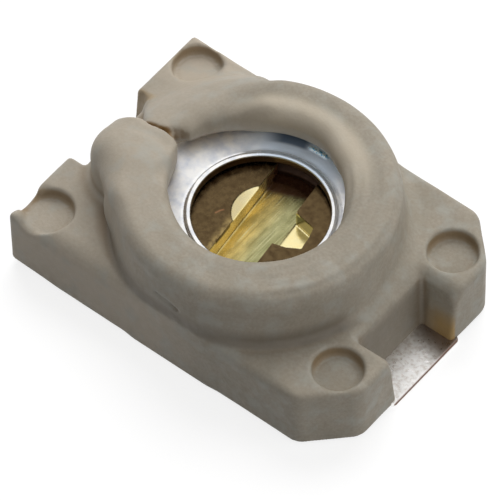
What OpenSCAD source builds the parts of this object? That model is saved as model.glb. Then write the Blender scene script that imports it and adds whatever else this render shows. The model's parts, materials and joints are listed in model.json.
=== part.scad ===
// Surface-mount ceramic trimmer capacitor, half-turn type.
// +X points to the stator terminal, -X to the rotor terminal, +Z away from the board.
// The origin is under the rotor's axis, on the solder plane. All sizes are in millimetres.

/* [Case] */
// Length of the moulded case, along X
case_l = 4.5; // [4.4:0.05:4.7]
// Width of the moulded case, along Y
case_w = 3.2; // [3.2:0.02:3.3]
// Height of the four corner lugs above the board
lug_z = 0.86; // [0.82:0.01:0.9]
// Gap between the case's underside and the board
standoff = 0.03; // [0.01:0.01:0.05]
// Leg of the 45 degree cuts on the corners at the stator end
corner_cut = 0.5; // [0.3:0.05:0.6]
// Corner radius at the rotor end
corner_r = 0.06; // [0.04:0.01:0.1]
// Rounding of the top edges
edge_r = 0.08; // [0.04:0.01:0.1]

/* [Ring and bridge] */
// Overall height, at the top of the ring
ring_z = 1.58; // [1.5:0.01:1.65]
// Outer radius of the ring at its foot
ring_r = 1.59; // [1.54:0.01:1.59]
// Inner radius of the staked lip
lip_r = 0.97; // [0.95:0.01:1.0]
// Radius of the rounded shoulders of the ring
shoulder_r = 0.2; // [0.15:0.01:0.2]
// How far the bridge over the rotor terminal's leg reaches on the -Y side
bridge_front_w = 0.8; // [0.76:0.02:0.82]
// How far it reaches on the +Y side
bridge_back_w = 0.72; // [0.68:0.02:0.76]
// Height of the bridge's -Y half
bridge_front_z = 1.44; // [1.4:0.01:1.46]
// Height of its lower +Y half
bridge_back_z = 1.27; // [1.22:0.01:1.3]

/* [Notches and marks] */
// Half width of the end notches at the top
notch_half_top = 0.58; // [0.54:0.01:0.62]
// Half width of the end notches at the bottom
notch_half_bottom = 0.48; // [0.46:0.01:0.52]
// Depth of the notch at the stator end, at the bottom
notch_depth = 0.41; // [0.36:0.01:0.45]
// Depth of the notch at the rotor end
rear_notch_depth = 0.24; // [0.2:0.01:0.28]
// Diameter of the round ejector marks
mark_d = 0.58; // [0.5:0.02:0.58]
// Depth of the round ejector marks
mark_depth = 0.14; // [0.05:0.01:0.15]

/* [Sheet metal] */
// Thickness of both terminals
sheet = 0.08; // [0.07:0.01:0.09]
// Length of terminal that stands past each end of the case
toe = 0.04; // [0.01:0.01:0.1]
// Width of the stator terminal's tongue
tongue_w = 1.16; // [1.1:0.02:1.2]
// Width of the rotor terminal's leg
leg_w = 1.0; // [0.9:0.02:1.02]
// Radius of the adjusting hole
hole_r = 0.775; // [0.74:0.005:0.79]

/* [Rotor] */
// Width of the driver slot
slot_w = 0.52; // [0.4:0.02:0.54]
// Depth of the driver slot
slot_depth = 0.23; // [0.16:0.01:0.24]
// Angle of the slot from the Y axis at rest
slot_angle = 6.9; // [0:0.1:20]

/* [Hidden] */
$fn = 96;
eps = 0.1;                            // how far a cutter runs past the face it opens
gap = 0.01;                           // running clearance

half_l = case_l / 2;
half_w = case_w / 2;

// Heights of the stack, from the board up
floor_z = standoff + 0.3;             // floor of the well
disc_z = floor_z + gap;
disc_t = 0.2;
film_z = disc_z + disc_t;
film_t = 0.02;
hub_z = film_z + film_t;
hub_flange_t = 0.1;
hub_top_z = hub_z + 0.37;
cap_z = hub_top_z + 0.03;             // underside of the cap
cap_top_z = cap_z + sheet;
rim_h = 0.04;                         // raised rim around the adjusting hole

// Where the ring's top starts to sink towards the seam and where it has sunk, and the lowest levels
sink_front_x = -1.0;
sink_back_x = -0.65;
sink_end_x = -1.25;
sink_front_z = bridge_front_z - 0.02;
sink_back_z = bridge_back_z + 0.07;

// Radii of the well and of what turns in it
well_r = 1.2;
cap_r = 1.26;
disc_r = 1.12;
film_r = 1.0;
hub_flange_r = 1.05;
hub_neck_r = 0.7;
hub_head_r = 0.8;
hub_head_t = 0.17;
rim_w = 0.065;

// The seam between the two halves of the bridge, and where the halves leave the ring
seam_w = 0.1;
seam_z = 1.2;
bridge_root_x = -1.1;
back_x = -half_l + rear_notch_depth;

// The leg of the rotor terminal goes down behind the bridge
leg_x = -1.66;
foot_x = -half_l - toe;

// Points of an arc, from angle a0 to a1 in n steps
function arc(cx, cy, r, a0, a1, n = 8) =
    [for (i = [0:n]) let (a = a0 + (a1 - a0) * i / n) [cx + r * cos(a), cy + r * sin(a)]];

// A 2D shape in X and Z, extruded evenly to both sides of Y = 0
module across_y(width) {
    rotate([90, 0, 0]) linear_extrude(width, center = true) children();
}

// A 2D shape in Y and Z, extruded along X from x0
module along_x(x0, length) {
    translate([x0, 0, 0]) rotate([90, 0, 90]) linear_extrude(length) children();
}

// Rectangle standing on its base line, with its two top corners rounded
module arched_rect(width, height, r) {
    polygon(concat([[-width / 2, 0], [width / 2, 0]],
                   arc(width / 2 - r, height - r, r, 0, 90, 5),
                   arc(-width / 2 + r, height - r, r, 90, 180, 5)));
}

module case_plan() {
    polygon(concat([[half_l - corner_cut, -half_w], [half_l, -half_w + corner_cut],
                    [half_l, half_w - corner_cut], [half_l - corner_cut, half_w]],
                   arc(-half_l + corner_r, half_w - corner_r, corner_r, 90, 180, 4),
                   arc(-half_l + corner_r, -half_w + corner_r, corner_r, 180, 270, 4)));
}

module base_block() {
    intersection() {
        translate([0, 0, standoff]) linear_extrude(lug_z - standoff) case_plan();
        across_y(case_w + eps) arched_rect(case_l, lug_z, edge_r);
        along_x(-half_l - eps, case_l + 2 * eps) arched_rect(case_w, lug_z, edge_r);
    }
}

// Round boss with a drafted wall and a rounded outer shoulder
module ring_boss() {
    top_r = ring_r - 0.03;
    rotate_extrude()
        polygon(concat([[0, floor_z], [ring_r, floor_z], [ring_r, lug_z]],
                       arc(top_r - shoulder_r, ring_z - shoulder_r, shoulder_r, 0, 90),
                       [[0, ring_z]]));
}

// Bridge over the rotor terminal's leg, in two halves of their own heights with a seam between
module bridge() {
    front_plan_r = 0.55;
    front_crown_r = 0.4;
    front_root_z = ring_z - 0.02;
    intersection() {
        bridge_profile(front_root_z, front_root_z, front_crown_r);
        along_x(-half_l, half_l)
            polygon([[-bridge_front_w, standoff], [0, standoff], [0, bridge_front_z],
                     [-seam_w / 2, bridge_front_z], [-bridge_front_w, front_root_z]]);
        linear_extrude(ring_z)
            polygon(concat([[bridge_root_x, -bridge_front_w], [bridge_root_x, 0], [back_x, 0]],
                           arc(back_x + front_plan_r, front_plan_r - bridge_front_w, front_plan_r,
                               180, 270, 6)));
    }
    back_plan_r = 0.3;
    back_crown_r = 0.2;
    seam_corner = 0.36;
    intersection() {
        bridge_profile(bridge_back_z, bridge_back_z + 0.1, back_crown_r);
        linear_extrude(ring_z)
            polygon(concat([[back_x, seam_corner], [back_x + seam_corner - seam_w, seam_w],
                            [bridge_root_x, seam_w], [bridge_root_x, bridge_back_w]],
                           arc(back_x + back_plan_r, bridge_back_w - back_plan_r, back_plan_r,
                               90, 180, 6)));
    }
    translate([back_x + seam_corner - seam_w, -seam_w, standoff])
        cube([bridge_root_x - back_x - seam_corner + seam_w, 3 * seam_w, seam_z - standoff]);
}

// Side view of a half of the bridge: its height at the seam's outer end and where it leaves the ring
module bridge_profile(top_z, root_z, crown_r) {
    across_y(case_w)
        polygon(concat([[bridge_root_x, standoff], [bridge_root_x, root_z]],
                       arc(back_x + crown_r, top_z - crown_r, crown_r, 90, 180, 6),
                       [[back_x, standoff]]));
}

// The ring's top sinks towards the seam: this is what lies above it, on one side of Y = 0
module sunk_top(side, start_x, end_z) {
    translate([0, side * half_w / 2, 0]) across_y(half_w)
        polygon([[start_x, ring_z], [sink_end_x, end_z], [-half_l, end_z], [-half_l, ring_z + eps],
                 [start_x, ring_z + eps]]);
}

// Inside of the lip, wider at its foot, with a rounded mouth
module lip_opening() {
    undercut = 0.07;
    mouth_r = lip_r + shoulder_r;
    foot_r = lip_r + undercut;
    rotate_extrude()
        polygon(concat([[0, cap_top_z], [foot_r, cap_top_z]],
                       arc(mouth_r, ring_z - shoulder_r, shoulder_r, 180, 90),
                       [[mouth_r, ring_z + eps], [0, ring_z + eps]]));
}

// Place at -X where the two ends of the staked lip part and show the cap
module lip_gap() {
    translate([0, 0, cap_top_z]) linear_extrude(ring_z)
        polygon([[-0.7, -0.66], [-0.76, -0.585], [-0.9, -0.38], [-1.03, -0.17], [-1.14, -0.02],
                 [-1.27, 0.13], [-1.16, 0.22], [-1.09, 0.38], [-1.0, 0.54], [-0.8, 0.66]]);
}

// Gap between the two halves of the bridge
module seam() {
    translate([back_x - eps, 0, seam_z]) cube([bridge_root_x - back_x + eps, seam_w, ring_z]);
}

module well() {
    translate([0, 0, floor_z]) cylinder(r = well_r, h = cap_z - floor_z);
    translate([0, 0, cap_z]) cylinder(r = cap_r, h = sheet);
}

// Notch at the stator end, narrower at the bottom and leaning outwards
module stator_notch() {
    inner_bottom_x = half_l - notch_depth;
    lean = 0.09;
    inner_top_x = inner_bottom_x - lean;
    intersection() {
        along_x(1, 2)
            polygon([[-notch_half_bottom, 0], [notch_half_bottom, 0],
                     [notch_half_top, lug_z + eps], [-notch_half_top, lug_z + eps]]);
        across_y(case_w)
            polygon([[inner_bottom_x, 0], [half_l + eps, 0],
                     [half_l + eps, lug_z + eps], [inner_top_x, lug_z + eps]]);
    }
}

module rotor_notch() {
    along_x(-half_l - eps, rear_notch_depth + eps)
        polygon([[-notch_half_bottom, 0], [notch_half_bottom, 0],
                 [notch_half_top, lug_z + eps], [-notch_half_top, lug_z + eps]]);
}

module ejector_marks() {
    for (side = [-1, 1], p = [[-1.935, 1.28], [1.855, 1.0]])
        translate([p[0], side * p[1], lug_z - mark_depth]) cylinder(d = mark_d, h = mark_depth + eps);
}

module case() {
    color([0.63, 0.60, 0.54]) difference() {
        union() {
            difference() {
                base_block();
                rotor_notch();
                ejector_marks();
            }
            difference() {
                ring_boss();
                sunk_top(-1, sink_front_x, sink_front_z);
                sunk_top(1, sink_back_x, sink_back_z);
            }
            bridge();
        }
        stator_notch();
        well();
        lip_opening();
        lip_gap();
        seam();
        stator_sheet();
        rotor_leg();
    }
}

// Stator terminal: a tongue on the board, a joggle, and a half-moon head in the well's floor
module stator_sheet() {
    head_z = floor_z - sheet;
    bend_x = 1.3;
    across_y(0.8)
        polygon([[bend_x + 0.2, 0], [bend_x + 0.2, sheet], [bend_x + 0.06, sheet],
                 [bend_x - 0.02, floor_z], [0, floor_z], [0, head_z],
                 [bend_x - 0.08, head_z], [bend_x, 0]]);
    tip_cut = 0.04;
    tip_x = half_l + toe;
    linear_extrude(sheet)
        polygon([[bend_x + 0.1, -tongue_w / 2], [tip_x - tip_cut, -tongue_w / 2],
                 [tip_x, -tongue_w / 2 + tip_cut], [tip_x, tongue_w / 2 - tip_cut],
                 [tip_x - tip_cut, tongue_w / 2], [bend_x + 0.1, tongue_w / 2]]);
    intersection() {
        translate([0, 0, head_z]) cylinder(r = disc_r, h = sheet);
        translate([0, -2, 0]) cube([2, 4, 1]);
    }
}

module stator_terminal() {
    color([0.80, 0.80, 0.80]) stator_sheet();
}

// Leg of the rotor terminal: out from the cap, down behind the bridge, out along the board
module rotor_leg() {
    bend = 0.05;
    across_y(leg_w)
        polygon([[foot_x, 0], [leg_x - bend, 0], [leg_x, bend],
                 [leg_x, cap_z], [-1, cap_z], [-1, cap_top_z],
                 [leg_x - sheet + bend, cap_top_z], [leg_x - sheet, cap_top_z - bend],
                 [leg_x - sheet, sheet], [foot_x, sheet]]);
}

module rotor_terminal() {
    color([0.82, 0.84, 0.86]) difference() {
        union() {
            rotor_leg();
            translate([0, 0, cap_z]) cylinder(r = cap_r, h = sheet);
            rotate_extrude()
                polygon(concat([[0, cap_z], [hole_r + rim_w, cap_z]],
                               arc(hole_r + rim_w / 2, cap_top_z + rim_h - rim_w / 2, rim_w / 2, 0, 180, 6),
                               [[0, cap_top_z]]));
        }
        translate([0, 0, cap_z - eps]) cylinder(r = hole_r, h = 1);
    }
}

// Dished ring that pushes the rotor down from the cap
module spring_washer() {
    inner_z = hub_z + hub_flange_t + gap;
    outer_z = cap_z - gap;
    washer_t = 0.06;
    inner_r = 0.84;
    outer_r = 1.15;
    color([0.72, 0.55, 0.32]) rotate_extrude()
        polygon([[inner_r, inner_z], [outer_r, outer_z - washer_t],
                 [outer_r, outer_z], [inner_r, inner_z + washer_t]]);
}

// Driver slot with a tapered pointer notch on its +X side and a shallow round pocket at -X
module driver_recess() {
    slot_z = hub_top_z - slot_depth;
    slot_l = 2 * hub_flange_r;
    notch_x = 0.58;
    notch_y = [-0.22, -0.12, 0.19, 0.28];     // its corners: the outer two at the slot, the others at the tip
    pocket_r = 0.36;
    pocket_at = [-0.02, 0.1];
    pocket_depth = 0.06;
    translate([-slot_w / 2, -slot_l / 2, slot_z]) cube([slot_w, slot_l, hub_top_z]);
    translate([0, 0, slot_z]) linear_extrude(hub_top_z)
        polygon([[0, notch_y[0]], [slot_w / 2, notch_y[0]], [notch_x, notch_y[1]],
                 [notch_x, notch_y[2]], [slot_w / 2, notch_y[3]], [0, notch_y[3]]]);
    translate([pocket_at[0], pocket_at[1], hub_top_z - pocket_depth])
        cylinder(r = pocket_r, h = hub_top_z);
}

module rotor() {
    color([0.78, 0.63, 0.33]) rotate([0, 0, slot_angle]) difference() {
        union() {
            translate([0, 0, hub_z]) cylinder(r = hub_flange_r, h = hub_flange_t);
            translate([0, 0, hub_z]) cylinder(r = hub_neck_r, h = hub_top_z - hub_z);
            translate([0, 0, hub_top_z - hub_head_t]) cylinder(r = hub_head_r, h = hub_head_t);
        }
        driver_recess();
    }
}

module ceramic_disc() {
    color([0.93, 0.91, 0.86]) translate([0, 0, disc_z]) cylinder(r = disc_r, h = disc_t);
}

// Half-moon silver film between the disc and the rotor, on the side of the pointer notch
module rotor_electrode() {
    color([0.86, 0.86, 0.84]) rotate([0, 0, slot_angle]) intersection() {
        translate([0, 0, film_z]) cylinder(r = film_r, h = film_t);
        translate([0, -2, 0]) cube([2, 4, 2]);
    }
}

case();
stator_terminal();
rotor_terminal();
spring_washer();
rotor();
ceramic_disc();
rotor_electrode();
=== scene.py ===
"""Looks of a surface-mount ceramic trimmer capacitor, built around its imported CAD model.

Every piece is written as a form: a function of x, y and z in millimetres that is negative inside
the piece and grows with the distance outside it. contour() turns a form into a mesh. A mask is a
function of the same points that is 1 where a material changes, and 0 elsewhere.
"""

import json
import math

import bpy
import numpy as np
from mathutils import Matrix, Vector

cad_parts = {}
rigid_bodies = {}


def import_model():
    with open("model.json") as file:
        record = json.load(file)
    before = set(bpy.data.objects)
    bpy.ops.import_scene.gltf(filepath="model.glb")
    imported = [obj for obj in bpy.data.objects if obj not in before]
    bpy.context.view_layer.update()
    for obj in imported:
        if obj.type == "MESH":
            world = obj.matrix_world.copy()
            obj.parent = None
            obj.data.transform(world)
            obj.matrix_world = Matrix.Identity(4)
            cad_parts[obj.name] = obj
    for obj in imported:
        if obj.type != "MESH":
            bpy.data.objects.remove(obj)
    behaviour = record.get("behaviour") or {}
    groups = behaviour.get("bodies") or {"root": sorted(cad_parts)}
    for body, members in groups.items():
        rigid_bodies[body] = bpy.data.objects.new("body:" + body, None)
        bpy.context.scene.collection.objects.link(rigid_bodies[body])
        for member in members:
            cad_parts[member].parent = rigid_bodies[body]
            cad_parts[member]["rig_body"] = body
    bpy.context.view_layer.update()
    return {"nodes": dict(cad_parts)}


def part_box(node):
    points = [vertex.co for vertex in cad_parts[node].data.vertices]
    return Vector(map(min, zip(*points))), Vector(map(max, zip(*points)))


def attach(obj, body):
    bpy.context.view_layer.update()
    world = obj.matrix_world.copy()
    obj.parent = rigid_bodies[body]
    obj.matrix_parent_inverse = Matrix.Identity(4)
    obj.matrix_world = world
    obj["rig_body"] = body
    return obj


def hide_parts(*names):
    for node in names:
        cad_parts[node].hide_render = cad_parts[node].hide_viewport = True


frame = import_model()

MM = 0.001


def corners(node):
    """Lowest and highest corner of a CAD node, in millimetres."""
    low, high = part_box(node)
    return np.array(low) / MM, np.array(high) / MM


# Sizes that the frame gives, in millimetres
case_low, case_high = corners("case")
cap_low, cap_high = corners("rotor_terminal")
stator_low, stator_high = corners("stator_terminal")
washer_low, washer_high = corners("spring_washer")
rotor_low, rotor_high = corners("rotor")
disc_low, disc_high = corners("ceramic_disc")
film_low, film_high = corners("rotor_electrode")

HALF_L = case_high[0]
HALF_W = case_high[1]
UNDERSIDE = case_low[2]
RING_TOP = case_high[2]
SHEET = 0.08                                   # thickness of both terminals
RIM_H = 0.04                                   # raised rim round the adjusting hole
CAP_TOP = cap_high[2] - RIM_H
CAP_UNDER = CAP_TOP - SHEET
ROTOR_TOP = rotor_high[2]

# Sizes of the moulded case that its box doesn't give
LUG_TOP = 0.86
NOTCH_DEPTH = 0.41                             # of the stator notch, at the underside
NOTCH_HALF = 0.475                             # half the width of both notches, at the underside
NOTCH_BACK = -HALF_L + 0.24                    # wall of the notch at the rotor end
RING_R = 1.56
BRIDGE_ROOT = 1.1                              # the bridge grows out of the ring beyond this x
WELL_FLOOR = 0.33
WELL_R = 1.2                                   # space for what turns
SEAT_R = 1.26                                  # the cap's flange fills this
LIP_R = 0.965                                  # opening of the staked lip
LIP_Z = 1.38                                   # below this the lip's opening widens
RECESSES = [(x, side * y) for side in (-1, 1) for x, y in ((-1.935, 1.28), (1.855, 1.0))]
RECESS_R = 0.295
RECESS_DEPTH = 0.14
SEAM = [(-1.95, 0.05, 1.12), (-1.7, 0.04, 1.24), (-1.5, 0.045, 1.29), (-1.3, 0.09, 1.3), (-1.1, 0.1, 1.24)]

# Sizes of the cap and the rotor
HOLE_R = 0.765                                 # adjusting hole
RIM_R = HOLE_R + 0.065
FLANGE_R = RIM_R + 0.05                        # the flange is clear of the rim beyond this
BEAD_R = 1.03                                  # a short raised bead lies this far out on the flange
BEAD_ANGLE = 91
SLOT_ANGLE = math.radians(6.9)                 # from the Y axis, as it is at rest
SLOT_SIDES = (-0.255, 0.268)
SLOT_DEPTH = 0.23
SLOT_FLOOR = ROTOR_TOP - SLOT_DEPTH
POCKET = (-0.023, 0.1)
POCKET_R = 0.367
POCKET_DEPTH = 0.018
FILM_R = 1.0                                   # half-moon film on the disc

HOLLOW_REACH = (0.08, 0.15, 0.28)              # how far out a surface looks for walls that enclose it

# ---------------------------------------------------------------- forms: how they combine

def join(a, b, r=1e-4):
    """Both forms, with a fillet of radius r where they meet."""
    return np.maximum(r, np.minimum(a, b)) - np.hypot(np.maximum(r - a, 0), np.maximum(r - b, 0))


def common(a, b, r=1e-4):
    """What lies in both forms, with its edge rounded to radius r."""
    return np.minimum(-r, np.maximum(a, b)) + np.hypot(np.maximum(r + a, 0), np.maximum(r + b, 0))


def cut(a, b, r=1e-4):
    """Form a without form b, with the edge rounded to radius r."""
    return common(a, -b, r)


def step(value, start, end):
    """0 before start and 1 after end, with a smooth change between them."""
    t = np.clip((value - start) / (end - start), 0, 1)
    return t * t * (3 - 2 * t)


def near(value, centre, reach, fade):
    """1 round a centre and 0 beyond reach, with a smooth change of this width before it."""
    return step(reach - np.abs(value - centre), 0, fade)


def between(value, start, full, end, fade):
    """0 before start, 1 from full on, and 0 again beyond end, with a smooth fade before it."""
    return step(value, start, full) * step(end - value, 0, fade)


def polar(x, y):
    """Distance from the axis, and the cosine and sine of the angle round it."""
    rho = np.maximum(np.hypot(x, y), 1e-6)
    return rho, x / rho, y / rho


def around(x, y):
    """Angle round the axis in degrees, from +X towards +Y."""
    return np.degrees(np.arctan2(y, x))


def outline(x, y, points):
    """Distance to a closed outline, negative inside it."""
    nearest = np.full(np.shape(x), np.inf)
    inside = np.zeros(np.shape(x), bool)
    for (ax, ay), (bx, by) in zip(points, points[1:] + points[:1]):
        ex, ey = bx - ax, by - ay
        t = np.clip(((x - ax) * ex + (y - ay) * ey) / (ex * ex + ey * ey), 0, 1)
        nearest = np.minimum(nearest, np.hypot(x - ax - t * ex, y - ay - t * ey))
        if ey:
            inside ^= ((ay <= y) != (by <= y)) & (x < ax + (y - ay) * ex / ey)
    return np.where(inside, -nearest, nearest)


def thread(x, y, z, points, radius):
    """Round bar along a line of points."""
    nearest = np.full(np.shape(x), np.inf)
    for a, b in zip(points[:-1], points[1:]):
        a = np.array(a)
        e = np.array(b) - a
        t = np.clip(((x - a[0]) * e[0] + (y - a[1]) * e[1] + (z - a[2]) * e[2]) / (e @ e), 0, 1)
        aside = (x - a[0] - t * e[0]) ** 2 + (y - a[1] - t * e[1]) ** 2 + (z - a[2] - t * e[2]) ** 2
        nearest = np.minimum(nearest, np.sqrt(aside))
    return nearest - radius


def slab(v, low, high, r=1e-4):
    """Layer between two parallel planes."""
    return common(low - v, v - high, r)


def wobble(x, y, z, size, seed, waves=6):
    """Smooth uneven surface between -1 and 1, with bumps of about this size."""
    rng = np.random.default_rng(seed)
    total = 0
    for _ in range(waves):
        k = rng.normal(size=3)
        k *= math.tau / size / np.linalg.norm(k)
        total = total + np.sin(k[0] * x + k[1] * y + k[2] * z + rng.uniform(0, math.tau))
    return total / waves


# ---------------------------------------------------------------- forms: from form to mesh

def slope(form, p, h=0.002):
    """Direction in which a form grows fastest at each point, and how fast."""
    g = np.stack([(form(*(p + d).T) - form(*(p - d).T)) / (2 * h) for d in np.eye(3) * h], axis=1)
    size = np.maximum(np.linalg.norm(g, axis=1), 1e-6)
    return g / size[:, None], size


def cell_points(value):
    """One point in each grid cell that the surface crosses, in cells from the grid's corner.

    Also gives the number of the point in each cell, and along each axis the grid lines that cross.
    """
    shape = np.array(value.shape) - 1
    total = np.zeros((3, *shape))
    count = np.zeros(shape, int)
    crossings = []
    for a in range(3):
        v = np.moveaxis(value, a, 0)
        crosses = (v[:-1] < 0) != (v[1:] < 0)
        with np.errstate(divide="ignore", invalid="ignore"):
            t = np.where(crosses, v[:-1] / (v[:-1] - v[1:]), 0)
        crossings.append(crosses)
        part = [np.moveaxis(total[i], a, 0) for i in (a, *[i for i in range(3) if i != a])]
        tally = np.moveaxis(count, a, 0)
        for j in (0, 1):
            for k in (0, 1):
                here = (slice(None), slice(j, crosses.shape[1] - 1 + j), slice(k, crosses.shape[2] - 1 + k))
                tally += crosses[here]
                part[0] += t[here]
                part[1] += crosses[here] * j
                part[2] += crosses[here] * k
    used = count > 0
    index = np.full(shape, -1)
    index[used] = np.arange(used.sum())
    offset = np.stack([total[i][used] / count[used] for i in range(3)], axis=1)
    return np.argwhere(used) + offset, index, crossings


def cell_faces(value, index, crossings):
    """A face round each grid line that crosses the surface, through the points of its four cells."""
    faces = []
    for a in range(3):
        v = np.moveaxis(value, a, 0)
        cells = np.moveaxis(index, a, 0)
        i, j, k = np.nonzero(crossings[a][:, 1:-1, 1:-1])
        j, k = j + 1, k + 1
        quad = [cells[i, j - 1, k - 1], cells[i, j, k - 1], cells[i, j, k], cells[i, j - 1, k]]
        quad = np.stack(quad, axis=1)
        turn = (v[i, j, k] >= 0) ^ (a == 1)
        quad[turn] = quad[turn][:, ::-1]
        faces.append(quad)
    return np.concatenate(faces)


def contour(form, low, high, cell):
    """Points and four-sided faces of the surface where a form is zero, kept between two corners."""
    axes = [np.arange(a - 1.5 * cell, b + 2.5 * cell, cell) for a, b in zip(low, high)]
    value = form(*np.meshgrid(*axes, indexing="ij"))
    where, index, crossings = cell_points(value)
    points = np.stack([axes[i][0] + where[:, i] * cell for i in range(3)], axis=1)
    for _ in range(3):
        direction, rate = slope(form, points)
        reach = np.clip(form(*points.T) / rate, -cell / 2, cell / 2)
        points -= direction * reach[:, None]
    return np.clip(points, low, high), cell_faces(value, index, crossings)


def solid(name, form, low, high, cell, node, material, masks=None, angle=0.0, crisp=False):
    """Mesh piece that stands for a CAD node, with a point attribute for each named mask.

    The form and the masks may be given in a frame that is turned by an angle round Z.
    """
    points, faces = contour(form, low, high, cell)
    mesh = bpy.data.meshes.new(name)
    placed = points @ np.array(Matrix.Rotation(angle, 3, "Z")).T
    mesh.from_pydata(placed * MM, [], faces.tolist())
    mesh.shade_smooth()
    if crisp:
        mesh.set_sharp_from_angle(angle=math.radians(40))
    normal, _ = slope(form, points)
    closeness = [np.clip(1 - form(*(points + normal * reach).T) / reach, 0, 1) for reach in HOLLOW_REACH]
    values = {"hollow": sum(closeness) / len(HOLLOW_REACH)}
    values.update({key: mask(*points.T) for key, mask in (masks or {}).items()})
    for key, value in values.items():
        mesh.attributes.new(key, "FLOAT", "POINT").data.foreach_set("value", value.astype(np.float32))
    mesh.materials.append(material)
    piece = bpy.data.objects.new(name, mesh)
    bpy.context.scene.collection.objects.link(piece)
    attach(piece, frame["nodes"][node]["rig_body"])
    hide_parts(node)
    print(name, len(points), "points", len(faces) * 2, "triangles")
    return piece


# ---------------------------------------------------------------- case: its parts

def base_block(x, y, z):
    """Moulded block with two cut corners at the stator end. Its top edge is worn on the -Y side."""
    cut_corner, cut_r, corner_r = 0.5, 0.07, 0.05
    plan = common(np.abs(x) - HALF_L, np.abs(y) - HALF_W, corner_r)
    plan = common(plan, (x + np.abs(y) - HALF_L - HALF_W + cut_corner) / math.sqrt(2), cut_r)
    top = z - LUG_TOP + 0.005 * (1 + wobble(x, y, z, 0.9, 1))
    worn = step(-y, 0.6, 1.4) * step(x, -2.25, -1.9)
    top_edge_r = 0.08 + worn * (0.05 * step(1.8 - x, 0, 0.6) + 0.1 * step(-x, -0.5, 1))
    bottom_edge_r = 0.03 + 0.05 * step(-x, 1.5, 2.2)
    return common(common(plan, top, top_edge_r), UNDERSIDE - z, bottom_edge_r)


def notch(x, y, z, end):
    """Space at one end (1 stator, -1 rotor) where a terminal lies open. It widens upwards."""
    rise = (z - UNDERSIDE) / (LUG_TOP - UNDERSIDE)
    side_draft, back_draft = 0.1, 0.09
    half = NOTCH_HALF + side_draft * rise
    if end > 0:
        wall = x - (HALF_L - NOTCH_DEPTH - back_draft * rise)
    else:
        wall = NOTCH_BACK - x
        half = half + 0.035 * step(y, 0, 0.1)
    return common(-wall, np.abs(y) - half, 0.05)


def sinking(x, y):
    """How far the ring's top lies below its highest level. It sinks towards the seam."""
    _, along, _ = polar(x, y)
    return np.where(y > 0, 0.24 * step(-along, 0.45, 0.98), 0.18 * step(-along, 0.75, 0.99))


def ring(x, y, z):
    """Staked ring that holds the cap down, a little fuller towards -Y."""
    rho, along, across = polar(x, y)
    edge_r, lean, draft = 0.2, 0.03, 0.06
    wall_z = RING_TOP - edge_r
    outer_r = RING_R - lean * across + draft * np.clip((wall_z - z) / (wall_z - LUG_TOP), 0, 1.2)
    swell = step(-across, 0.3, 0.5) * step(-along, 0.62, 0.85) * step(z, 0.9, 1.05)
    ripples = 0.007 * np.sin(rho * 60) * step(along, 0.5, 0.8)
    return common(rho - outer_r - 0.1 * swell, z - RING_TOP + sinking(x, y) + ripples, edge_r)


def bridge_front(x, y, z):
    """-Y half of the bridge over the rotor terminal's leg: a full dome that grows out of the ring."""
    front_y, top_z = -0.82, 1.42
    plan = common(NOTCH_BACK - x, front_y - y, 0.55)
    dome = common(plan, z - top_z - 0.14 * step(-y, 0.05, 0.7), 0.4)
    seam_y = np.interp(x, [-1.9, -1.66, -1.5, -1.35, -1.1], [-0.03, 0.02, 0.0, 0.02, -0.02])
    return common(common(dome, x + BRIDGE_ROOT), y - seam_y, 0.09)


def bridge_back(x, y, z):
    """+Y half of the bridge: an apron that slopes from the ring to the lug, cut off slantwise."""
    rho, along, _ = polar(x, y)
    crest_r, crest_z = 1.43, 1.54
    fall, rate = 1.02, 1.43                        # the rate makes the height about a distance
    height = z - crest_z + fall * (rho - crest_r) + 0.6 * step(along, -0.65, -0.3)
    apron = common(height / rate, z - RING_TOP + sinking(x, y), 0.25)
    seam_side = [(-2.14, 0.62), (-1.82, 0.2), (-1.69, 0.06), (-1.5, 0.08), (-1.28, 0.16), (-1.1, 0.16)]
    ring_side = [(-1.1, 0.4), (-0.3, 1.2), (-0.5, 1.45), (-2.14, 1.45)]
    plan = outline(x, y, seam_side + ring_side)
    bottom_z = 0.45
    return common(common(apron, plan, 0.06), bottom_z - z, 0.05)


def lip_opening(x, y, z):
    """Space inside the staked lip, with the gap at -X where the two ends of the lip part."""
    fall = np.clip((LIP_Z - z) / (LIP_Z - CAP_TOP), 0, 1)
    fuller = 0.05 * between(around(x, y), 5, 35, 90, 25)
    round_part = np.hypot(x, y + 0.01) - LIP_R - 0.08 * fall + fuller
    front_end = [(-0.5, -0.7), (-0.76, -0.585), (-0.81, -0.52), (-0.9, -0.38), (-1.03, -0.17), (-1.14, -0.03)]
    seam_end = [(-1.3, 0.13), (-1.26, 0.17)]
    back_end = [(-1.16, 0.22), (-1.08, 0.38), (-0.96, 0.54), (-0.8, 0.65), (-0.6, 0.7)]
    gap = outline(x, y, front_end + seam_end + back_end)
    return common(join(round_part, gap, 0.15), CAP_TOP - 0.02 - z)


def recess(x, y, z, cx, cy):
    """Shallow round recess that an ejector pin left, a little narrower at its floor."""
    draft = 0.03
    radius = RECESS_R - draft * (LUG_TOP - z) / RECESS_DEPTH
    return common(np.hypot(x - cx, y - cy) - radius, LUG_TOP - RECESS_DEPTH - z, 0.05)


def well(x, y, z):
    """Space for the rotor and the disc, and above it the cap's seat."""
    rho = np.hypot(x, y)
    return join(common(rho - WELL_R, slab(z, WELL_FLOOR, CAP_UNDER)),
                common(rho - SEAT_R, slab(z, CAP_UNDER, CAP_TOP)))


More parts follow.
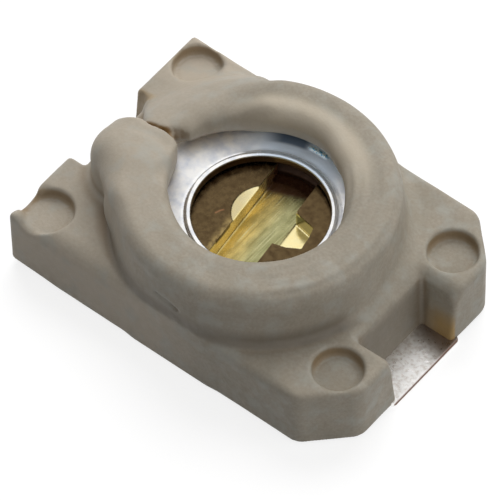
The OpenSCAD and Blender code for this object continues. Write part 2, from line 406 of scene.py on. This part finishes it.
def case_form(x, y, z):
    """The moulded case: block, ring and bridge, less what is moulded open."""
    _, along, across = polar(x, y)
    body = base_block(x, y, z)
    for cx, cy in RECESSES:
        melted = 0.1 * step(cx - x + 0.5 * (cy - y), 0, 0.25) if cx < 0 and cy < 0 else 0
        body = cut(body, recess(x, y, z, cx, cy), 0.03 + melted)
    foot_r = 0.08 + 0.1 * step(across, -0.4, 0.3) * step(along, -0.2, 0.4) - 0.04 * step(-along, 0.4, 0.6)
    body = join(body, ring(x, y, z), foot_r)
    body = join(body, bridge_front(x, y, z), 0.08 + 0.2 * step(z, 1.1, 1.4) * step(-y, 0.1, 0.3))
    body = cut(body, notch(x, y, z, -1), 0.03)
    body = join(body, bridge_back(x, y, z), 0.02 + 0.1 * step(y, 0.3, 0.6))
    body = cut(body, notch(x, y, z, 1), 0.05 + (0.04 + 0.06 * step(y, 0, 0.2)) * step(z, 0.6, 0.8))
    body = cut(body, well(x, y, z), 0.01)
    mouth_r = 0.2 - 0.12 * step(-x, 0.65, 0.85) * step(-y, -0.1, 0.05)
    body = cut(body, lip_opening(x, y, z), mouth_r)
    crease = [(-0.16, -1.6, 1.14), (0.02, -1.6, 1.11), (0.12, -1.59, 1.07)]
    body = cut(body, thread(x, y, z, crease, 0.026), 0.01)
    bed = [(-1.95, 0.03, 0.9), (-1.7, 0.05, 1.08), (-1.42, 0.06, 1.14)]
    body = join(body, thread(x, y, z, bed, 0.08), 0.02)
    body = cut(body, thread(x, y, z, SEAM, 0.035), 0.03)
    body = body + 0.003 * wobble(x, y, z, 0.35, 2)
    return common(body, np.maximum(np.abs(y) - HALF_W, z - RING_TOP), 0.02)


# ---------------------------------------------------------------- case: masks

def thin_wall(x, y, z):
    """1 low on the stator notch's +Y wall, where light comes through. Less in the other notch."""
    low = near(y, 0.5, 0.06, 0.03) * step(x, 1.8, 2.1) * step(0.62 - z, 0, 0.4)
    other = 0.45 * near(y, 0.59, 0.06, 0.03) * step(-x, 1.95, 2.05) * step(z, 0.3, 0.5)
    return low + other


def ring_foot_shade(x, y, z):
    """Painted shade: 1 in the corner where the ring stands on the block, on the -Y side. Less on the walls
    near it.
    """
    rho = np.hypot(x, y)
    foot = near(rho, RING_R + 0.07, 0.1, 0.05) * between(z, 0.8, 0.88, 1.2, 0.3) * step(-y, 0.3, 0.6)
    wall = 0.25 * step(rho, RING_R - 0.1, RING_R - 0.02) * between(z, 0.88, 0.95, 1.4, 0.1)
    wall = wall * step(-y, 0, 0.5) * step(x, -0.6, 0.2)
    inner = 0.75 * near(x, HALF_L - NOTCH_DEPTH - 0.01, 0.08, 0.03) * near(y, 0, 0.56, 0.05)
    inner = inner * step(LUG_TOP - z, 0, 0.1)
    return np.maximum(foot, np.maximum(wall, inner))


def pit_wall_shade(x, y, z):
    """Painted shade: 1 on the far walls of the round recesses, away from the block's sides."""
    depth = step(LUG_TOP - 0.02 - z, 0, 0.03) * step(z - LUG_TOP + RECESS_DEPTH, -0.01, 0)
    depth = depth * step(np.minimum(HALF_L - np.abs(x), HALF_W - np.abs(y)), 0.01, 0.03)
    total = 0
    for cx, cy in RECESSES:
        wall = near(np.hypot(x - cx, y - cy), RECESS_R - 0.01, 0.05, 0.02)
        total = total + wall * step(0.77 * (y - cy) - 0.64 * (x - cx), -0.05, 0.15)
    return total * depth


def seam(x, y, z):
    """Painted shade: 1 along the furrow between the two halves of the bridge."""
    return step(0.07 - thread(x, y, z, SEAM, 0), 0, 0.03)


def pale(x, y, z):
    """Painted light: 1 on the lug behind the bridge and on most of the front face, which are coloured
    lighter. Less on the -X half.
    """
    lug = step(-x, 0.8, 1.8) * step(y, 0.4, 1.2)
    face = step(-x, -0.6, 0.4) * step(-y, 1.5, 1.58) * step(1.0 - z, 0, 0.3)
    half = 0.55 * step(-x - 0.3 * y, 0.2, 1.5)
    return np.maximum(np.maximum(lug, 0.9 * face), half)


def far_lip(x, y, z):
    """1 on the inner slope of the staked lip at the back, which the cap lights up."""
    rho, _, across = polar(x, y)
    return step(1.3 - rho, 0, 0.16) * step(across, 0.4, 0.95) * step(z, 1.0, 1.1)


# ---------------------------------------------------------------- cap and terminals

def ribbon(u, v, points, half):
    """Sheet of even thickness along a bent line, seen from its edge."""
    flat = np.zeros(np.shape(u))
    return thread(u, v, flat, [(a, b, 0.0) for a, b in points], half)


def bent(points, r, n=4):
    """A line of points with each of its bends rounded over a length r on both sides."""
    line = [points[0]]
    for before, at, after in zip(points, points[1:], points[2:]):
        a, p, b = (np.array(q, float) for q in (before, at, after))
        start = p + (a - p) / np.linalg.norm(a - p) * r
        end = p + (b - p) / np.linalg.norm(b - p) * r
        for t in np.linspace(0, 1, n):
            line.append(tuple((1 - t) ** 2 * start + 2 * t * (1 - t) * p + t * t * end))
    return line + [points[-1]]


def cap_form(x, y, z):
    """Adjusting cap with a rolled rim round its hole, and the leg that goes down behind the bridge."""
    rho = np.hypot(x, y)
    dished = 0.16 * np.clip(rho - FLANGE_R, 0, 0.22) * between(around(x, y), 20, 50, 155, 35)
    flange = common(rho - SEAT_R, slab(z, CAP_UNDER, CAP_TOP + dished), 0.01)
    mid = CAP_TOP - SHEET / 2
    leg_x, leg_half = -1.7, 0.5
    path = bent([(-1.1, mid), (leg_x, mid), (leg_x, SHEET / 2), (cap_low[0] - 0.1, SHEET / 2)], 0.07)
    leg = common(ribbon(x, z, path, SHEET / 2), np.abs(y) - leg_half, 0.015)
    leg = common(leg, cap_low[0] - x, 0.015)
    body = join(flange, leg)
    rim = common(slab(rho, HOLE_R - 0.01, RIM_R, 0.02), slab(z, CAP_UNDER, CAP_TOP + RIM_H, 0.02), 0.025)
    body = join(body, rim, 0.008)
    groove = np.hypot(rho - RIM_R - 0.012, z - CAP_TOP - 0.004) - 0.008
    body = cut(body, groove, 0.004)
    angles = np.radians(BEAD_ANGLE + np.array([6, 3, 0, -3, -6]))
    bead = [(BEAD_R * math.cos(a), BEAD_R * math.sin(a), CAP_TOP + 0.01) for a in angles]
    body = join(body, thread(x, y, z, bead, 0.018), 0.02)
    return cut(body, common(rho - HOLE_R, slab(z, 0, 2)), 0.012)


def cap_bore_shade(x, y, z):
    """Painted shade: 1 on the wall of the adjusting hole and on the underside beside it."""
    return step(HOLE_R + 0.025 - np.hypot(x, y), 0, 0.01) * step(CAP_TOP + 0.02 - z, 0, 0.01)


def cap_rim(x, y, z):
    """1 where the cap is smooth: on its rim and on the flange's +X side."""
    rim = step(FLANGE_R - np.hypot(x, y), 0, 0.02)
    return np.maximum(rim, between(around(x, y), -40, -10, 60, 25))


def cap_haze(x, y, z):
    """1 on the rim's outer foot on the +X side, where the tin is matt and catches the light."""
    return near(np.hypot(x, y), RIM_R + 0.02, 0.045, 0.015) * between(around(x, y), -60, -40, 80, 30)


def cap_blue(x, y, z):
    """Painted reflection: 1 on the far part of the cap, which mirrors something blue."""
    return between(around(x, y), 50, 80, 150, 35)


def cap_glint(x, y, z):
    """Painted glint: 1 in the bright glint on the bead, beside the deep blue patch of painted reflection."""
    aside = ((around(x, y) - BEAD_ANGLE) / 9) ** 2
    out = ((np.hypot(x, y) - BEAD_R) / 0.035) ** 2
    return step(1 - aside - out, 0, 0.5)


def cap_dark_reflection(x, y, z):
    """Painted dark reflection: 1 in the deep blue patch at the foot of the lip."""
    return step(np.hypot(x, y), 0.96, 1.0) * between(around(x, y), 96, 102, 128, 14)


def stator_form(x, y, z):
    """Tongue on the board, a joggle, and a half-moon head in the floor of the well."""
    head_z = WELL_FLOOR - SHEET / 2
    head_r, neck_half, tongue_half = 1.12, 0.4, 0.58
    head = common(np.hypot(x, y) - head_r, slab(z, WELL_FLOOR - SHEET, WELL_FLOOR), 0.01)
    head = common(head, -x, 0.01)
    path = bent([(-0.2, head_z), (1.26, head_z), (1.34, SHEET / 2), (1.7, SHEET / 2)], 0.05)
    neck = common(ribbon(x, z, path, SHEET / 2), np.abs(y) - neck_half, 0.01)
    end = common(x - stator_high[0], np.abs(y) - tongue_half, 0.05)
    tongue = common(common(common(end, z - SHEET, 0.018), -z, 0.045), 1.4 - x)
    return join(join(head, neck), tongue)


def sheared(x, y, z):
    """1 on the upper part of the tongue's end, where the sheet was cut."""
    return step(x, stator_high[0] - 0.014, stator_high[0] - 0.008) * step(z, 0.04, 0.055)


def tongue_shade(x, y, z):
    """How much painted shade darkens the tin's upper face near the walls of the notch, for the dark walls
    that it mirrors.
    """
    back_wall = 0.35 * step(1.98 - x, 0, 0.2)
    side_wall = step(y + 0.3 * (x - 2.05), 0.12, 0.45)
    return np.maximum(back_wall, side_wall) * step(z, 0.05, 0.07)


# ---------------------------------------------------------------- what turns

def rotor_form(u, v, z):
    """Brass rotor with its driver slot, pointer notch and shallow pocket, in the slot's own frame."""
    rho = np.hypot(u, v)
    flange_r, neck_r, head_r = 1.05, 0.7, 0.8
    flange_h, head_h = 0.1, 0.17
    flange = common(rho - flange_r, slab(z, rotor_low[2], rotor_low[2] + flange_h), 0.01)
    neck = common(rho - neck_r, slab(z, rotor_low[2], ROTOR_TOP))
    head = common(rho - head_r, slab(z, ROTOR_TOP - head_h, ROTOR_TOP), 0.02)
    body = join(join(flange, neck), head)
    body = cut(body, common(slab(u, *SLOT_SIDES), SLOT_FLOOR - z, 0.01), 0.003)
    arrow = outline(u, v, [(0.0, 0.27), (0.27, 0.28), (0.545, 0.194), (0.575, 0.02), (0.577, -0.114),
                           (0.42, -0.185), (0.268, -0.209), (0.0, -0.23)])
    body = cut(body, common(arrow, SLOT_FLOOR + 0.01 - z, 0.01), 0.005)
    pocket = np.hypot(u - POCKET[0], v - POCKET[1]) - POCKET_R
    return cut(body, common(pocket, ROTOR_TOP - POCKET_DEPTH - z, POCKET_DEPTH), 0.003)


def brown_top(u, v, z):
    """1 on what the cutters left alone: the top face and the rotor's outside."""
    return np.maximum(step(z, ROTOR_TOP - 0.012, ROTOR_TOP - 0.004), step(np.hypot(u, v), 0.71, 0.73))


def slot_wall(u, v, z):
    """Painted reflection: 1 on the slot's wall on the pocket's side, whose brass is coloured near white for
    the light it mirrors.
    """
    return near(u, SLOT_SIDES[0], 0.016, 0.008) * step(z, SLOT_FLOOR, SLOT_FLOOR + 0.012)


def slot_end_shadow(u, v, z):
    """Painted shadow: 1 in the far end of the slot, which lies under the cap's edge."""
    return step(v - 0.3 * u, 0.52, 0.62) * step(ROTOR_TOP - 0.012 - z, 0, 0.01)


def slot_left(u, v, z):
    """Grows across the slot, towards its golden side."""
    return step(-u, -0.12, 0.18)


def notch_floor(u, v, z):
    """1 in the pointer notch, beyond the slot."""
    return step(u, 0.24, 0.3)


def notch_wall(u, v, z):
    """1 on the far wall of the pointer notch, which is coloured dark olive."""
    return step(u, 0.26, 0.3) * step(v, -0.02, 0.06) * step(z, SLOT_FLOOR + 0.02, SLOT_FLOOR + 0.05)


def pocket_floor(u, v, z):
    """1 in the shallow pocket."""
    inside = step(POCKET_R + 0.033 - np.hypot(u - POCKET[0], v - POCKET[1]), 0, 0.02)
    return inside * step(z, ROTOR_TOP - 0.045, ROTOR_TOP - 0.035)


def pocket_darker_left(u, v, z):
    """Grows towards the pocket's left side, which is coloured darker."""
    return step(-u - 0.5 * v, 0.04, 0.32)


def scratch(u, v, z):
    """1 in a short coppery scratch on the top face."""
    points = [(-0.42, -0.1, ROTOR_TOP), (-0.445, -0.13, ROTOR_TOP), (-0.47, -0.18, ROTOR_TOP)]
    return step(-thread(u, v, z, points, 0.008), -0.006, 0.006)


def slit(u, v, z):
    """Painted shade: 1 in the dark slit behind the burr on the slot's edge."""
    points = [(-0.245, -0.24, 0.9), (-0.25, -0.36, 0.9), (-0.262, -0.5, 0.91)]
    return step(-thread(u, v, z, points, 0.03), 0, 0.015)


def worn_edge(u, v, z):
    """1 on the top face along the front half of the slot's edge, where drivers slipped."""
    return step(u, -0.36, -0.26) * step(0.1 - u, 0.1, 0.2) * step(-v, 0.05, 0.2)


def washer_form(x, y, z):
    """Dished ring spring between the cap and the rotor."""
    rho = np.hypot(x, y)
    inner_r, outer_r = 0.84, 1.15
    half = 0.03
    inner = washer_low[2] + half
    outer = washer_high[2] - half
    mid = inner + (outer - inner) * (rho - inner_r) / (outer_r - inner_r)
    return common(slab(rho, inner_r, outer_r), slab(z, mid - half, mid + half), 0.01)


def disc_form(x, y, z):
    """Flat ceramic disc, the dielectric."""
    return common(np.hypot(x, y) - disc_high[0], slab(z, disc_low[2], disc_high[2]), 0.02)


def film_form(u, v, z):
    """Half-moon silver film on the disc, on the side of the pointer notch."""
    return common(common(np.hypot(u, v) - FILM_R, -u), slab(z, film_low[2], film_high[2]), 0.003)


# ---------------------------------------------------------------- materials

class Shader:
    """A node material around one Principled BSDF. Sizes of patterns are given in millimetres."""

    def __init__(self, name, **settings):
        self.material = bpy.data.materials.new(name)
        self.material.use_nodes = True
        self.tree = self.material.node_tree
        self.bsdf = self.tree.nodes["Principled BSDF"]
        for key, value in settings.items():
            self.bsdf.inputs[key.replace("_", " ")].default_value = value
        self.place = self.tree.nodes.new("ShaderNodeTexCoord").outputs["Object"]

    def put(self, kind, inputs=None, **settings):
        """Adds a node. An input is a value or another node's output."""
        node = self.tree.nodes.new("ShaderNode" + kind)
        for key, value in settings.items():
            setattr(node, key, value)
        for key, value in (inputs or {}).items():
            if isinstance(value, bpy.types.NodeSocket):
                self.tree.links.new(value, node.inputs[key])
            else:
                node.inputs[key].default_value = value
        return node

    def noise(self, size, detail=4.0, stretch=(1, 1, 1), turn=0.0):
        """Cloudy pattern, 0 to 1, whose features are about this many millimetres across."""
        place = self.put("Mapping", {"Vector": self.place, "Rotation": (0, 0, -turn),
                                     "Scale": tuple(1 / (s * size * MM) for s in stretch)}).outputs[0]
        return self.put("TexNoise", {"Vector": place, "Scale": 1.0, "Detail": detail,
                                     "Roughness": 0.5}).outputs["Fac"]

    def mask(self, name):
        """One of the piece's own masks."""
        return self.put("Attribute", attribute_name=name).outputs["Fac"]

    def band(self, value, low, high, to_low=0.0, to_high=1.0):
        """A value brought from one range to another."""
        return self.put("MapRange", {"Value": value, "From Min": low, "From Max": high, "To Min": to_low,
                                     "To Max": to_high}).outputs[0]

    def blend(self, factor, a, b):
        """Colour between a and b."""
        node = self.put("Mix", data_type="RGBA", blend_type="MIX")
        for socket, value in zip((node.inputs[0], node.inputs[6], node.inputs[7]), (factor, a, b)):
            if isinstance(value, bpy.types.NodeSocket):
                self.tree.links.new(value, socket)
            else:
                socket.default_value = value if socket is node.inputs[0] else (*value, 1)
        return node.outputs[2]

    def times(self, a, b):
        """Product of two values."""
        return self.put("Math", {0: a, 1: b}, operation="MULTIPLY").outputs[0]

    def most(self, a, b):
        """The larger of two values."""
        return self.put("Math", {0: a, 1: b}, operation="MAXIMUM").outputs[0]

    def bump(self, height, depth, strength=1.0, under=None):
        """Relief of this depth in millimetres."""
        inputs = {"Height": height, "Distance": depth * MM, "Strength": strength}
        if under is not None:
            inputs["Normal"] = under
        return self.put("Bump", inputs).outputs[0]

    def set(self, **links):
        """Links patterns to the shader's inputs and gives the finished material."""
        for key, value in links.items():
            self.tree.links.new(value, self.bsdf.inputs[key.replace("_", " ")])
        return self.material


def srgb(r, g, b):
    """Linear colour from the usual 0 to 255 values."""
    parts = (r / 255, g / 255, b / 255)
    return tuple(c / 12.92 if c <= 0.04045 else ((c + 0.055) / 1.055) ** 2.4 for c in parts)


def case_resin():
    """Grey-beige moulded resin with a fine grain, with painted light and shade: lighter on some faces,
    amber-brown painted shade in its hollows.
    """
    s = Shader("case_resin", Roughness=0.55)
    tone = s.blend(s.band(s.noise(0.45), 0.35, 0.65), srgb(153, 145, 130), srgb(166, 157, 142))
    tone = s.blend(s.times(s.band(s.noise(0.16, 3), 0.4, 0.7), 0.5), tone, srgb(152, 148, 136))
    tone = s.blend(s.times(s.band(s.noise(0.035, 3), 0.35, 0.65), 0.4), tone, srgb(138, 128, 113))
    # Painted light on the lug behind the bridge, the front face and the lip's far slope; then painted shade
    # in the ring's foot, the hollows, the furrow and the recesses' far walls, and painted light where it
    # comes through the thin notch wall.
    tone = s.blend(s.times(s.mask("pale"), 0.7), tone, srgb(192, 180, 163))
    tone = s.blend(s.times(s.band(s.noise(0.24, 6), 0.5, 0.68), 0.5), tone, srgb(168, 168, 160))
    tone = s.blend(s.times(s.mask("lip"), 0.7), tone, srgb(206, 194, 174))
    tone = s.blend(s.times(s.mask("foot"), 0.8), tone, srgb(104, 96, 84))
    hollow = s.times(s.band(s.mask("hollow"), 0.15, 0.8), s.band(s.mask("foot"), 0, 1, 0.85, 0.2))
    shaded_tone = s.blend(hollow, tone, srgb(112, 86, 50))
    shaded_tone = s.blend(s.times(s.mask("seam"), 0.8), shaded_tone, srgb(128, 98, 56))
    shaded_tone = s.blend(s.times(s.mask("pit"), 0.6), shaded_tone, srgb(132, 106, 66))
    shaded_tone = s.blend(s.times(s.mask("thin"), 0.75), shaded_tone, srgb(176, 140, 74))
    grain = s.bump(s.noise(0.03, 3), 0.0025)
    waves = s.bump(s.noise(0.2, 3), 0.006, under=grain)
    return s.set(Base_Color=shaded_tone, Roughness=s.band(s.noise(0.1), 0.3, 0.7, 0.5, 0.66), Normal=waves)


def tinned_cap():
    """Bright plated sheet with soft dents, with painted reflections: a little blue on its far side, a deep
    blue patch and a glint; painted shade in its hole.
    """
    s = Shader("tinned_cap", Metallic=1.0)
    tone = s.blend(s.band(s.noise(0.14, 5), 0.35, 0.6), srgb(226, 229, 236), srgb(255, 254, 252))
    # Painted reflections: blue on the far side, a deep blue patch at the lip's foot and a cyan-white glint on
    # the bead; then painted shade on the wall of the hole.
    tone = s.blend(s.mask("blue"), tone, srgb(222, 236, 252))
    tone = s.blend(s.times(s.mask("dark"), 0.8), tone, srgb(50, 78, 110))
    sparkle = s.blend(s.band(s.noise(0.02, 2), 0.4, 0.52), srgb(92, 176, 220), srgb(240, 253, 255))
    tone = s.blend(s.mask("glint"), tone, sparkle)
    tone = s.blend(s.mask("bore"), tone, srgb(84, 64, 44))
    flange = s.band(s.noise(0.12), 0.3, 0.7, 0.4, 0.5)
    rough = s.band(s.mask("rim"), 0, 1, flange, 0.2)
    metal = s.times(s.band(s.mask("blue"), 0, 1, 1, 0.6), s.band(s.mask("haze"), 0, 1, 1, 0.2))
    dents = s.bump(s.noise(0.3, 1), 0.006)
    relief = s.bump(s.noise(0.05, 2), 0.0008, under=dents)
    return s.set(Base_Color=tone, Roughness=rough, Metallic=metal, Normal=relief)


def tinned_sheet():
    """Granular reflowed tin on the stator terminal, with painted shade near the notch walls."""
    s = Shader("tinned_sheet", Metallic=1.0)
    grains = s.noise(0.045, 2)
    tone = s.blend(s.band(grains, 0.32, 0.54), srgb(228, 222, 216), srgb(255, 254, 252))
    tone = s.blend(s.mask("shade"), tone, srgb(140, 128, 120))
    tone = s.blend(s.mask("sheared"), tone, srgb(112, 84, 72))
    rough = s.band(s.noise(0.05), 0.3, 0.7, 0.25, 0.4)
    return s.set(Base_Color=tone, Roughness=rough, Normal=s.bump(grains, 0.0014))


def rotor_brass():
    """Brass that is bright in the milled slot and dark brown on top, with painted reflection on the slot's
    wall and painted shade at the slot's far end and in a slit.
    """
    s = Shader("rotor_brass", Metallic=1.0)
    # Milled floors: streaks along the slot, greenish on its right and golden on its left
    streaks = s.noise(0.02, 3, stretch=(1, 30, 1), turn=SLOT_ANGLE)
    patches = s.noise(0.09, 3, stretch=(1, 3, 1), turn=SLOT_ANGLE)
    golden = s.blend(s.band(patches, 0.35, 0.65), srgb(168, 148, 88), srgb(222, 192, 112))
    greenish = s.blend(s.band(patches, 0.35, 0.65), srgb(152, 150, 104), srgb(182, 178, 130))
    milled = s.blend(s.mask("left"), greenish, golden)
    milled = s.blend(s.band(streaks, 0.56, 0.72, 0, 0.6), milled, srgb(226, 220, 172))
    milled = s.blend(s.band(streaks, 0.42, 0.3, 0, 0.5), milled, srgb(120, 108, 62))
    pointer = s.blend(s.noise(0.1), srgb(255, 232, 158), srgb(255, 247, 200))
    milled = s.blend(s.mask("notch"), milled, pointer)
    milled = s.blend(s.times(s.mask("olive"), 0.9), milled, srgb(92, 84, 36))
    cream = s.blend(s.noise(0.12), srgb(255, 234, 168), srgb(255, 248, 206))
    cream = s.blend(s.times(s.mask("dull"), 0.55), cream, srgb(176, 158, 116))
    milled = s.blend(s.mask("pocket"), milled, cream)
    clouds = s.noise(0.08, 3, stretch=(1, 2, 1), turn=SLOT_ANGLE)
    # Painted reflection: the wall is coloured near white-gold for the light that it mirrors.
    wall = s.blend(clouds, srgb(255, 224, 128), srgb(255, 248, 200))
    tone = s.blend(s.mask("wall"), milled, wall)
    # Top face: brown, with a worn edge and a scratch
    top_brown = s.blend(s.band(s.noise(0.06, 6), 0.3, 0.7), srgb(80, 64, 43), srgb(108, 90, 62))
    wear = s.times(s.mask("worn"), s.band(s.noise(0.05, 3), 0.35, 0.6, 0.2, 0.9))
    top_brown = s.blend(wear, top_brown, srgb(170, 146, 96))
    top_brown = s.blend(s.times(s.mask("scratch"), 0.6), top_brown, srgb(176, 126, 92))
    tone = s.blend(s.mask("top"), tone, top_brown)
    # Painted shadow in the far end of the slot, under the cap's edge.
    tone = s.blend(s.times(s.mask("far"), 0.95), tone, srgb(84, 50, 32))
    # Painted shade in the slit beside the slot's wall.
    tone = s.blend(s.times(s.mask("slit"), 0.9), tone, srgb(60, 32, 10))
    metal = s.times(s.band(s.mask("wall"), 0, 1, 1, 0.8), s.band(s.mask("far"), 0, 1, 1, 0.1))
    rough = s.times(s.band(s.noise(0.06), 0.3, 0.7, 0.2, 0.34), s.band(s.mask("notch"), 0, 1, 1, 0.7))
    even = s.mask("top")                           # where the streaks hardly show
    for name in ("wall", "far", "notch"):
        even = s.most(even, s.mask(name))
    relief = s.bump(streaks, 0.0025, s.band(even, 0, 1, 1, 0.2))
    return s.set(Base_Color=tone, Roughness=rough, Metallic=metal, Normal=relief)


def spring_bronze():
    """Bronze of the ring spring, coloured very dark as painted shade, since only its shadowed part shows
    beyond the slot.
    """
    s = Shader("spring_bronze", Metallic=0.6)
    tone = s.blend(s.noise(0.1), srgb(48, 30, 18), srgb(66, 42, 26))
    return s.set(Base_Color=tone, Roughness=s.band(s.noise(0.05), 0.3, 0.7, 0.5, 0.65),
                 Normal=s.bump(s.noise(0.04), 0.002))


def ceramic():
    """Cream ceramic."""
    s = Shader("ceramic")
    tone = s.blend(s.noise(0.1), srgb(224, 218, 200), srgb(240, 236, 224))
    return s.set(Base_Color=tone, Roughness=s.band(s.noise(0.05), 0.3, 0.7, 0.35, 0.5),
                 Normal=s.bump(s.noise(0.02), 0.001))


def silver_film():
    """Matt fired silver."""
    s = Shader("silver_film", Metallic=1.0)
    tone = s.blend(s.noise(0.05), srgb(190, 190, 186), srgb(222, 222, 218))
    return s.set(Base_Color=tone, Roughness=s.band(s.noise(0.03), 0.3, 0.7, 0.4, 0.55),
                 Normal=s.bump(s.noise(0.02), 0.001))


# ---------------------------------------------------------------- pieces

def build_pieces():
    """One piece for each node of the CAD model. The number in each call is the grid's cell size."""
    solid("moulded_case", case_form, case_low, case_high, 0.026, "case",
          case_resin(), {"thin": thin_wall, "foot": ring_foot_shade, "pit": pit_wall_shade, "pale": pale, "seam": seam,
                         "lip": far_lip})
    solid("adjusting_cap", cap_form, cap_low, cap_high, 0.014, "rotor_terminal", tinned_cap(),
          {"bore": cap_bore_shade, "rim": cap_rim, "haze": cap_haze, "blue": cap_blue, "dark": cap_dark_reflection,
           "glint": cap_glint})
    solid("stator_tongue", stator_form, stator_low, stator_high, 0.014, "stator_terminal",
          tinned_sheet(), {"sheared": sheared, "shade": tongue_shade})
    solid("brass_rotor", rotor_form, rotor_low, rotor_high, 0.012, "rotor", rotor_brass(),
          {"top": brown_top, "wall": slot_wall, "far": slot_end_shadow, "left": slot_left, "notch": notch_floor,
           "olive": notch_wall, "pocket": pocket_floor, "dull": pocket_darker_left, "slit": slit, "worn": worn_edge,
           "scratch": scratch}, SLOT_ANGLE, crisp=True)
    solid("ring_spring", washer_form, washer_low, washer_high, 0.02, "spring_washer",
          spring_bronze())
    solid("dielectric_disc", disc_form, disc_low, disc_high, 0.03, "ceramic_disc", ceramic())
    solid("silver_half_moon", film_form, (0, -FILM_R, film_low[2]), (FILM_R, FILM_R, film_high[2]), 0.01,
          "rotor_electrode", silver_film(), angle=SLOT_ANGLE)


# ---------------------------------------------------------------- stage, light and camera

def seen_directly(tree):
    """1 for what the camera, mirrors and clear things see of a surface, and 0 for what it lights."""
    path = tree.nodes.new("ShaderNodeLightPath")
    seen = path.outputs["Is Camera Ray"]
    for ray in ("Is Glossy Ray", "Is Transmission Ray"):
        either = tree.nodes.new("ShaderNodeMath")
        either.operation = "MAXIMUM"
        tree.links.new(seen, either.inputs[0])
        tree.links.new(path.outputs[ray], either.inputs[1])
        seen = either.outputs[0]
    return seen


def floor():
    """Grey floor under the part. What it glows with makes it look white and lights nothing."""
    mesh = bpy.data.meshes.new("floor")
    half = 0.3                                     # in metres
    points = [(-half, -half, 0), (half, -half, 0), (half, half, 0), (-half, half, 0)]
    mesh.from_pydata(points, [], [(0, 1, 2, 3)])
    plane = bpy.data.objects.new("floor", mesh)
    bpy.context.scene.collection.objects.link(plane)
    material = bpy.data.materials.new("pale_floor")
    material.use_nodes = True
    tree = material.node_tree
    tree.nodes.clear()
    diffuse = tree.nodes.new("ShaderNodeBsdfDiffuse")
    diffuse.inputs["Color"].default_value = (0.3, 0.3, 0.3, 1)
    glow = tree.nodes.new("ShaderNodeEmission")
    glow.inputs["Color"].default_value = (1, 1, 1, 1)
    lift = tree.nodes.new("ShaderNodeMath")
    lift.operation = "MULTIPLY"
    lift.inputs[1].default_value = 0.8             # with the lit grey it comes out white
    tree.links.new(seen_directly(tree), lift.inputs[0])
    tree.links.new(lift.outputs[0], glow.inputs["Strength"])
    both = tree.nodes.new("ShaderNodeAddShader")
    out = tree.nodes.new("ShaderNodeOutputMaterial")
    tree.links.new(diffuse.outputs[0], both.inputs[0])
    tree.links.new(glow.outputs[0], both.inputs[1])
    tree.links.new(both.outputs[0], out.inputs["Surface"])
    mesh.materials.append(material)


def world():
    """Surroundings that look white and light the part less strongly."""
    scene = bpy.context.scene
    scene.world = bpy.data.worlds.new("studio")
    scene.world.use_nodes = True
    tree = scene.world.node_tree
    background = tree.nodes["Background"]
    background.inputs["Color"].default_value = (1, 1, 1, 1)
    strength = tree.nodes.new("ShaderNodeMapRange")
    strength.inputs["To Min"].default_value = 0.28
    strength.inputs["To Max"].default_value = 1.0
    tree.links.new(seen_directly(tree), strength.inputs["Value"])
    tree.links.new(strength.outputs[0], background.inputs["Strength"])


def sun(name, direction, level, spread):
    """Soft lamp in this direction. A level white surface renders at about this level under it."""
    data = bpy.data.lights.new(name, "SUN")
    toward = Vector(direction).normalized()
    data.energy = level * math.pi / toward.z
    data.angle = math.radians(spread)
    lamp = bpy.data.objects.new(name, data)
    lamp.rotation_euler = toward.to_track_quat("Z", "Y").to_euler()
    lamp.visible_glossy = False
    bpy.context.scene.collection.objects.link(lamp)


def camera():
    """Long lens from the front right."""
    azimuth, elevation, roll = (math.radians(a) for a in (39.9, 52.98, -1.24))
    back = Vector((math.sin(azimuth) * math.cos(elevation), -math.cos(azimuth) * math.cos(elevation),
                   math.sin(elevation)))
    right = Vector((math.cos(azimuth), math.sin(azimuth), 0))
    up = back.cross(right)
    turn = Matrix.Rotation(roll, 3, back)
    right, up = turn @ right, turn @ up
    distance, aside, above = 73.3 * MM, -0.133 * MM, 0.204 * MM
    data = bpy.data.cameras.new("camera")
    data.sensor_fit = "HORIZONTAL"
    data.sensor_width = 36
    data.lens = 482
    data.clip_start, data.clip_end = 0.005, 2
    obj = bpy.data.objects.new("camera", data)
    obj.matrix_world = Matrix((right, up, back)).transposed().to_4x4()
    obj.location = back * distance + right * aside + up * above + Vector((0, 0, UNDERSIDE * MM))
    bpy.context.scene.collection.objects.link(obj)
    bpy.context.scene.camera = obj


camera()
floor()
world()
sun("key", (-0.35, 0.6, 0.75), 0.5, 50)
sun("fill", (0.9, 0.25, 0.4), 0.12, 60)
bpy.context.scene.view_settings.view_transform = "Standard"
build_pieces()
